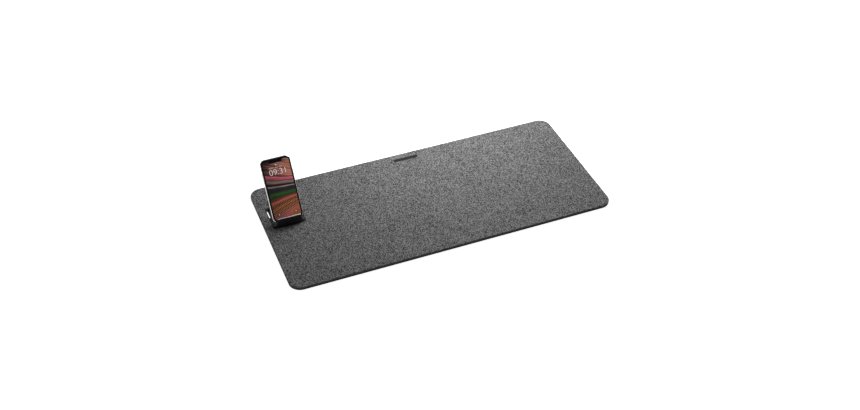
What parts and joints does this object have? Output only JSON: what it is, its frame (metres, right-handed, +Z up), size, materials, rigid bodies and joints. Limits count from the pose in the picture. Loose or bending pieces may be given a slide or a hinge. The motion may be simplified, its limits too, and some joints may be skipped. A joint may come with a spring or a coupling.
{
  "type": "desk mat with folding phone rest",
  "caption": "Felt desk mat with rounded corners and a fold-up phone rest let into one corner, with a front lip and a slab phone standing in it.",
  "frame": {"origin": "centre of the mat's underside, which is the centre of the whole object's footprint", "axes": "+X along the mat's long side (away from the phone rest), +Y to the mat's back edge, +Z up"},
  "size_m": [0.78, 0.362, 0.1369],
  "materials": {
    "felt": "heathered grey needle felt",
    "flap_felt": "dark needle felt",
    "core": "stiff pressed fibre board",
    "base_rubber": "matt non-slip",
    "flap_back": "matt non-slip",
    "tag": "matt, plain",
    "frame_plastic": "fine grain black",
    "pin_steel": "ground",
    "screw_steel": "zinc plated",
    "lip_metal": "black with bright cut edges",
    "pad_rubber": "matt soft pad",
    "rail_metal": "dark anodised",
    "sleeve_plastic": "natural acetal",
    "phone_steel": "bright satin band",
    "cover_glass": "black-bordered glass over the lit panel",
    "back_glass": "black backed glass",
    "display": "panel",
    "lens_glass": "coated lens",
    "flash_glass": "diffuser",
    "mesh_dark": "fine black mesh",
    "inner_metal": "pressed can",
    "inner_plastic": "moulded black",
    "battery_wrap": "pouch wrap",
    "board": "solder mask"
  },
  "bodies": {
    "mat": {"felt_top": "felt", "core_board": "core", "base_rubber": "base_rubber", "plain_tag": "tag", "holder_frame": "frame_plastic", "hinge_pin": "pin_steel", "lip_plate": "lip_metal", "lip_screws": "screw_steel", "lip_pad": "pad_rubber"},
    "rest": {"flap_rail": "rail_metal", "friction_sleeves": "sleeve_plastic", "flap_core": "core", "flap_felt": "flap_felt", "flap_back": "flap_back", "flap_rivets": "screw_steel"},
    "phone": {"phone_frame": "phone_steel", "cover_glass": "cover_glass", "back_glass": "back_glass", "display_panel": "display", "front_camera": "lens_glass", "earpiece_receiver": "inner_metal", "earpiece_mesh": "mesh_dark", "camera_bezel": "phone_steel", "camera_lenses": "lens_glass", "flash_lens": "flash_glass", "camera_module": "inner_metal", "battery": "battery_wrap", "logic_board": "board", "loudspeaker": "inner_plastic", "haptic_motor": "inner_metal", "charge_port": "inner_metal", "bottom_screws": "screw_steel", "sim_tray": "phone_steel", "key_switches": "inner_plastic"},
    "power_key": {"power_button": "phone_steel"},
    "volume_up_key": {"volume_up_button": "phone_steel"},
    "volume_down_key": {"volume_down_button": "phone_steel"},
    "mute_key": {"mute_switch": "phone_steel"}
  },
  "joints": [
    {"name": "rest_fold", "type": "hinge", "parent": "mat", "child": "rest", "pos_m": [-0.332, 0.0325, 0.0042], "axis": [1, 0, 0], "range_deg": [-54, 0]},
    {"name": "phone_lift", "type": "slide", "parent": "mat", "child": "phone", "axis": [0, 0.5878, 0.809], "range_m": [0, 0.17]},
    {"name": "power_press", "type": "slide", "parent": "phone", "child": "power_key", "axis": [-1, 0, 0], "range_m": [0, 0.00035], "stiffness_N_per_m": 800, "springref_m": -0.001},
    {"name": "volume_up_press", "type": "slide", "parent": "phone", "child": "volume_up_key", "axis": [1, 0, 0], "range_m": [0, 0.00035], "stiffness_N_per_m": 800, "springref_m": -0.001},
    {"name": "volume_down_press", "type": "slide", "parent": "phone", "child": "volume_down_key", "axis": [1, 0, 0], "range_m": [0, 0.00035], "stiffness_N_per_m": 800, "springref_m": -0.001},
    {"name": "mute_toggle", "type": "slide", "parent": "phone", "child": "mute_key", "axis": [0, -0.809, 0.5878], "range_m": [0, 0.0009]}
  ]
}
